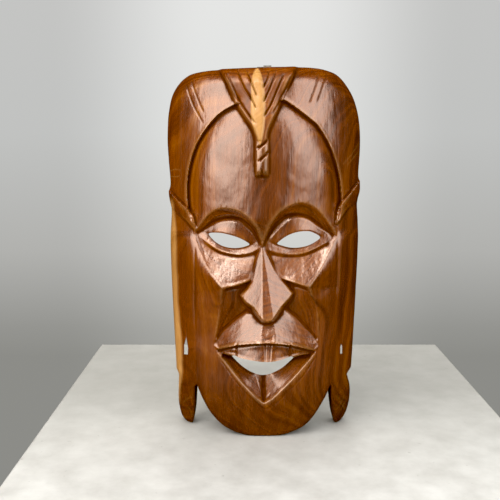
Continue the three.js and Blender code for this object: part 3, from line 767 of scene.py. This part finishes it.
def carved_wood():
    """Waxed hardwood: growth rings, fibre, pale sapwood, worn ridges and a bare back."""
    f = Finish("waxed_hardwood")
    split = f.node("ShaderNodeSeparateXYZ")
    f.link(f.place, split.inputs["Vector"])
    x, y, z = split.outputs
    # growth rings: shells about the heart of the log, behind the mask, that wander as they climb
    sway = f.noise(f.stretched((9, 9, 2.2)), 1.0, 2.0, 0.5)
    side = f.math("ADD", x, 0.012)
    back = f.math("ADD", f.math("MULTIPLY", y, -1.0), 0.070)
    radius = f.math("SQRT", f.math("ADD", f.math("MULTIPLY", side, side), f.math("MULTIPLY", back, back)))
    climb = f.math("ADD", f.math("MULTIPLY", sway, 0.015), f.math("MULTIPLY", z, -0.030))
    shell = f.math("ADD", radius, climb)
    rings = f.node("ShaderNodeTexNoise", noise_dimensions="1D")
    f.link(f.math("MULTIPLY", shell, 620.0), rings.inputs["W"])
    rings.inputs["Scale"].default_value = 1.0
    rings.inputs["Detail"].default_value = 3.0
    rings.inputs["Roughness"].default_value = 0.62
    ring = rings.outputs["Fac"]
    fibre = f.noise(f.stretched((420, 420, 9)), 1.0, 5.0, 0.62)
    streak = f.noise(f.stretched((95, 95, 3.2)), 1.0, 4.0, 0.6, 0.4)
    patch = f.noise(f.stretched((14, 14, 6)), 1.0, 3.0, 0.5)
    broad = f.math("ADD", f.math("MULTIPLY", streak, 0.35), f.math("MULTIPLY", patch, 0.25))
    figure = f.math("ADD", f.math("MULTIPLY", ring, 0.40), broad)
    # heartwood, with dark fibres, and painted shade that darkens it towards the foot, where the chin curls
    # under
    heart = f.ramp(figure, [(0.36, (0.066, 0.011, 0.0001)), (0.47, (0.135, 0.027, 0.0002)),
                            (0.55, (0.205, 0.047, 0.0004)), (0.66, (0.32, 0.10, 0.001))])
    heart = f.mix(f.span(fibre, 0.54, 0.74, 0.0, 0.4), heart, (0.07, 0.015, 0.001))
    # painted shade: darker towards the foot
    heart = f.mix(f.span(z, 0.005, 0.10, 0.38, 0.0), heart, (0.04, 0.007, 0.0001))
    # sapwood, worn ridges, wax left in the cuts with painted shade darkening the hollows and grooves, and the
    # bare wood of the back
    pale = f.ramp(figure, [(0.36, (0.42, 0.18, 0.035)), (0.52, (0.56, 0.28, 0.08)),
                           (0.68, (0.66, 0.38, 0.13))])
    colour = f.mix(f.mark("sapwood"), heart, pale)
    colour = f.mix(f.math("MULTIPLY", f.mark("worn"), 0.3), colour, (0.42, 0.20, 0.06))
    # wax and painted shade darken the hollows and grooves
    colour = f.mix(f.math("MULTIPLY", f.mark("wax_and_painted_shade"), 0.55), colour, (0.03, 0.008, 0.001))
    inner = f.ramp(figure, [(0.34, (0.12, 0.055, 0.02)), (0.55, (0.25, 0.125, 0.05)),
                            (0.72, (0.34, 0.19, 0.085))])
    colour = f.mix(f.mark("raw"), colour, inner)
    # pores, slight lumps and the strokes of the knife
    pores = f.noise(f.stretched((900, 900, 30)), 1.0, 2.0, 0.5)
    bump = f.bump(f.math("ADD", f.math("MULTIPLY", fibre, 0.6), f.math("MULTIPLY", pores, 0.4)), 0.25, 0.0004)
    lumps = f.noise(f.stretched((45, 45, 30)), 1.0, 3.0, 0.5)
    bump = f.bump(lumps, 0.5, 0.002, bump)
    strokes = f.noise(f.stretched((230, 230, 34)), 1.0, 3.0, 0.6)
    bump = f.bump(strokes, 0.24, 0.001, bump)
    # the wax shines less in the cuts, on the lock and on the sapwood
    dull = f.math("MAXIMUM", f.mark("wax_and_painted_shade"), f.math("MULTIPLY", f.mark("unpolished"), 0.55))
    dull = f.math("MAXIMUM", dull, f.math("MULTIPLY", f.mark("sapwood"), 0.55))
    rough = f.math("ADD", 0.20, f.math("MULTIPLY", fibre, 0.14))
    rough = f.math("ADD", rough, f.math("MULTIPLY", f.mark("raw"), 0.4))
    rough = f.math("ADD", rough, f.math("MULTIPLY", dull, 0.15))
    f.set(Base_Color=colour, Normal=bump, Roughness=rough, IOR=1.8, Specular_Tint=(1.0, 0.79, 0.66),
          Specular_IOR_Level=f.math("SUBTRACT", 1.0, dull))
    return f.material


def steel(name, colour, rough):
    """Dull plated metal, darker in patches."""
    f = Finish(name)
    wear = f.noise(f.stretched((260, 260, 260)), 1.0, 4.0, 0.6)
    tint = f.ramp(wear, [(0.35, tuple(c * 0.6 for c in colour)), (0.6, colour)])
    f.set(Base_Color=tint, Metallic=0.55, Roughness=f.span(wear, 0.3, 0.7, rough - 0.1, rough + 0.15),
          Normal=f.bump(wear, 0.15, 0.0002))
    return f.material


wood.data.materials.clear()
wood.data.materials.append(carved_wood())
wood.data.polygons.foreach_set("material_index", np.zeros(len(wood.data.polygons), np.int32))
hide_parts("mask_carving")
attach(wood, "mask")
for name in ("hanger_strap", "hanger_ring", "hanger_screw_upper", "hanger_screw_lower"):
    node = bpy.data.objects[name]
    node.data.materials.clear()
    shade = (0.55, 0.48, 0.34) if "screw" in name else (0.30, 0.26, 0.21)
    node.data.materials.append(steel(name + "_metal", shade, 0.38))

# ---------- table, backdrop, lights and camera ----------
bpy.ops.mesh.primitive_cube_add(size=1, location=(0, 0, 0))
table = bpy.context.object
table.name = "table_top"
TABLE_CENTRE = (0.0115, -0.13, -0.015)
TABLE_SIZE = (0.435, 0.85, 0.03)
for v in table.data.vertices:
    v.co = [middle + size * part for middle, size, part in zip(TABLE_CENTRE, TABLE_SIZE, v.co)]
table.modifiers.new("edge", "BEVEL").width = 0.003
bpy.ops.object.modifier_apply(modifier="edge")
paint = Finish("table_paint")
mottle = paint.noise(paint.stretched((30, 30, 30)), 1.0, 5.0, 0.6)
specks = paint.noise(paint.stretched((160, 160, 160)), 1.0, 2.0, 0.5)
tone = paint.ramp(mottle, [(0.3, (0.53, 0.525, 0.49)), (0.7, (0.74, 0.74, 0.70))])
across = paint.node("ShaderNodeSeparateXYZ")
paint.link(paint.place, across.inputs["Vector"])
# painted shade: the table top is darker towards the back
tone = paint.mix(paint.span(across.outputs["Y"], -0.25, 0.15, 0.0, 0.7), tone, (0.31, 0.305, 0.275))
tone = paint.mix(paint.span(specks, 0.70, 0.76, 0.0, 0.5), tone, (0.3, 0.29, 0.26))
paint.set(Base_Color=tone, Roughness=0.6, Normal=paint.bump(mottle, 0.2, 0.001))
table.data.materials.append(paint.material)

bpy.ops.mesh.primitive_plane_add(size=1, location=(0, 0, 0))
backdrop = bpy.context.object
backdrop.name = "backdrop"
for v, (x, z) in zip(backdrop.data.vertices, ((-4, -1.5), (4, -1.5), (-4, 3), (4, 3))):
    v.co = (x, 1.6, z)
# the backdrop is no lamp yet glows: painted light, brighter at the top, darker at the foot and dimmer at the
# sides
wall = Finish("backdrop_painted_glow")
height = wall.node("ShaderNodeSeparateXYZ")
wall.link(wall.place, height.inputs["Vector"])
rise = wall.node("ShaderNodeMapRange")
wall.link(height.outputs["Z"], rise.inputs["Value"])
rise.inputs["From Min"].default_value = -0.4
rise.inputs["From Max"].default_value = 0.9
glow = wall.ramp(rise.outputs["Result"], [(0.0, (0.36, 0.36, 0.34)), (0.07, (0.41, 0.41, 0.39)),
                                          (0.25, (0.61, 0.61, 0.59)), (0.52, (0.74, 0.75, 0.74)),
                                          (1.0, (0.79, 0.79, 0.78))])
away = wall.math("ABSOLUTE", height.outputs["X"])
dimmed = wall.span(away, 0.12, 0.6, 1.0, 0.7)
wall.set(Base_Color=(0.02, 0.02, 0.02), Emission_Color=glow, Emission_Strength=dimmed, Roughness=1.0,
         Specular_IOR_Level=0.0)
backdrop.data.materials.append(wall.material)


def soft_light(name, azimuth, elevation, away, size, power, tint):
    """A rectangular lamp aimed at the middle of the mask; azimuth turns to the right from the front."""
    a, e = math.radians(azimuth), math.radians(elevation)
    lamp = bpy.data.lights.new(name, "AREA")
    lamp.shape = "RECTANGLE"
    lamp.size, lamp.size_y = size
    lamp.energy = power
    lamp.color = tint
    thing = bpy.data.objects.new(name, lamp)
    bpy.context.scene.collection.objects.link(thing)
    target = Vector((0, 0, 0.17))
    towards = Vector((math.sin(a) * math.cos(e), -math.cos(a) * math.cos(e), math.sin(e)))
    thing.location = target + away * towards
    thing.rotation_euler = (target - thing.location).to_track_quat("-Z", "Y").to_euler()
    return thing


soft_light("left_window", -41, 27, 1.4, (1.3, 1.6), 25, (1.0, 0.96, 0.94))
soft_light("right_window", 48, 24, 1.4, (1.0, 1.3), 12, (0.97, 0.97, 1.0))
skylight = soft_light("skylight", -14, 49, 1.4, (0.25, 0.5), 4.5, (1.0, 0.97, 0.95))
skylight.visible_diffuse = False
behind = soft_light("behind", 170, 40, 1.4, (1.2, 1.0), 9, (1.0, 0.98, 0.95))
behind.visible_glossy = False
overhead = soft_light("overhead", -28, 66, 1.5, (1.7, 1.7), 15, (1.0, 0.98, 0.95))
overhead.visible_glossy = False
table.visible_glossy = False
backdrop.visible_glossy = False

world = bpy.data.worlds.new("room")
world.use_nodes = True
world.node_tree.nodes["Background"].inputs["Color"].default_value = (0.42, 0.43, 0.44, 1)
world.node_tree.nodes["Background"].inputs["Strength"].default_value = 0.6
world.cycles_visibility.glossy = False
bpy.context.scene.world = world
bpy.context.scene.view_settings.view_transform = "Standard"
bpy.context.scene.view_settings.use_curve_mapping = True
bpy.context.scene.view_settings.curve_mapping.black_level = (0.002, 0.003, 0.008)

camera = bpy.data.objects.new("camera", bpy.data.cameras.new("camera"))
bpy.context.scene.collection.objects.link(camera)
camera.data.lens = 54.7
camera.data.sensor_width = 36
camera.location = (-0.0125, -0.6595, 0.265)
CAMERA_DIP = 8.46  # degrees below level
camera.rotation_euler = (math.radians(90 - CAMERA_DIP), 0, 0)
bpy.context.scene.camera = camera

bpy.ops.object.select_all(action="DESELECT")
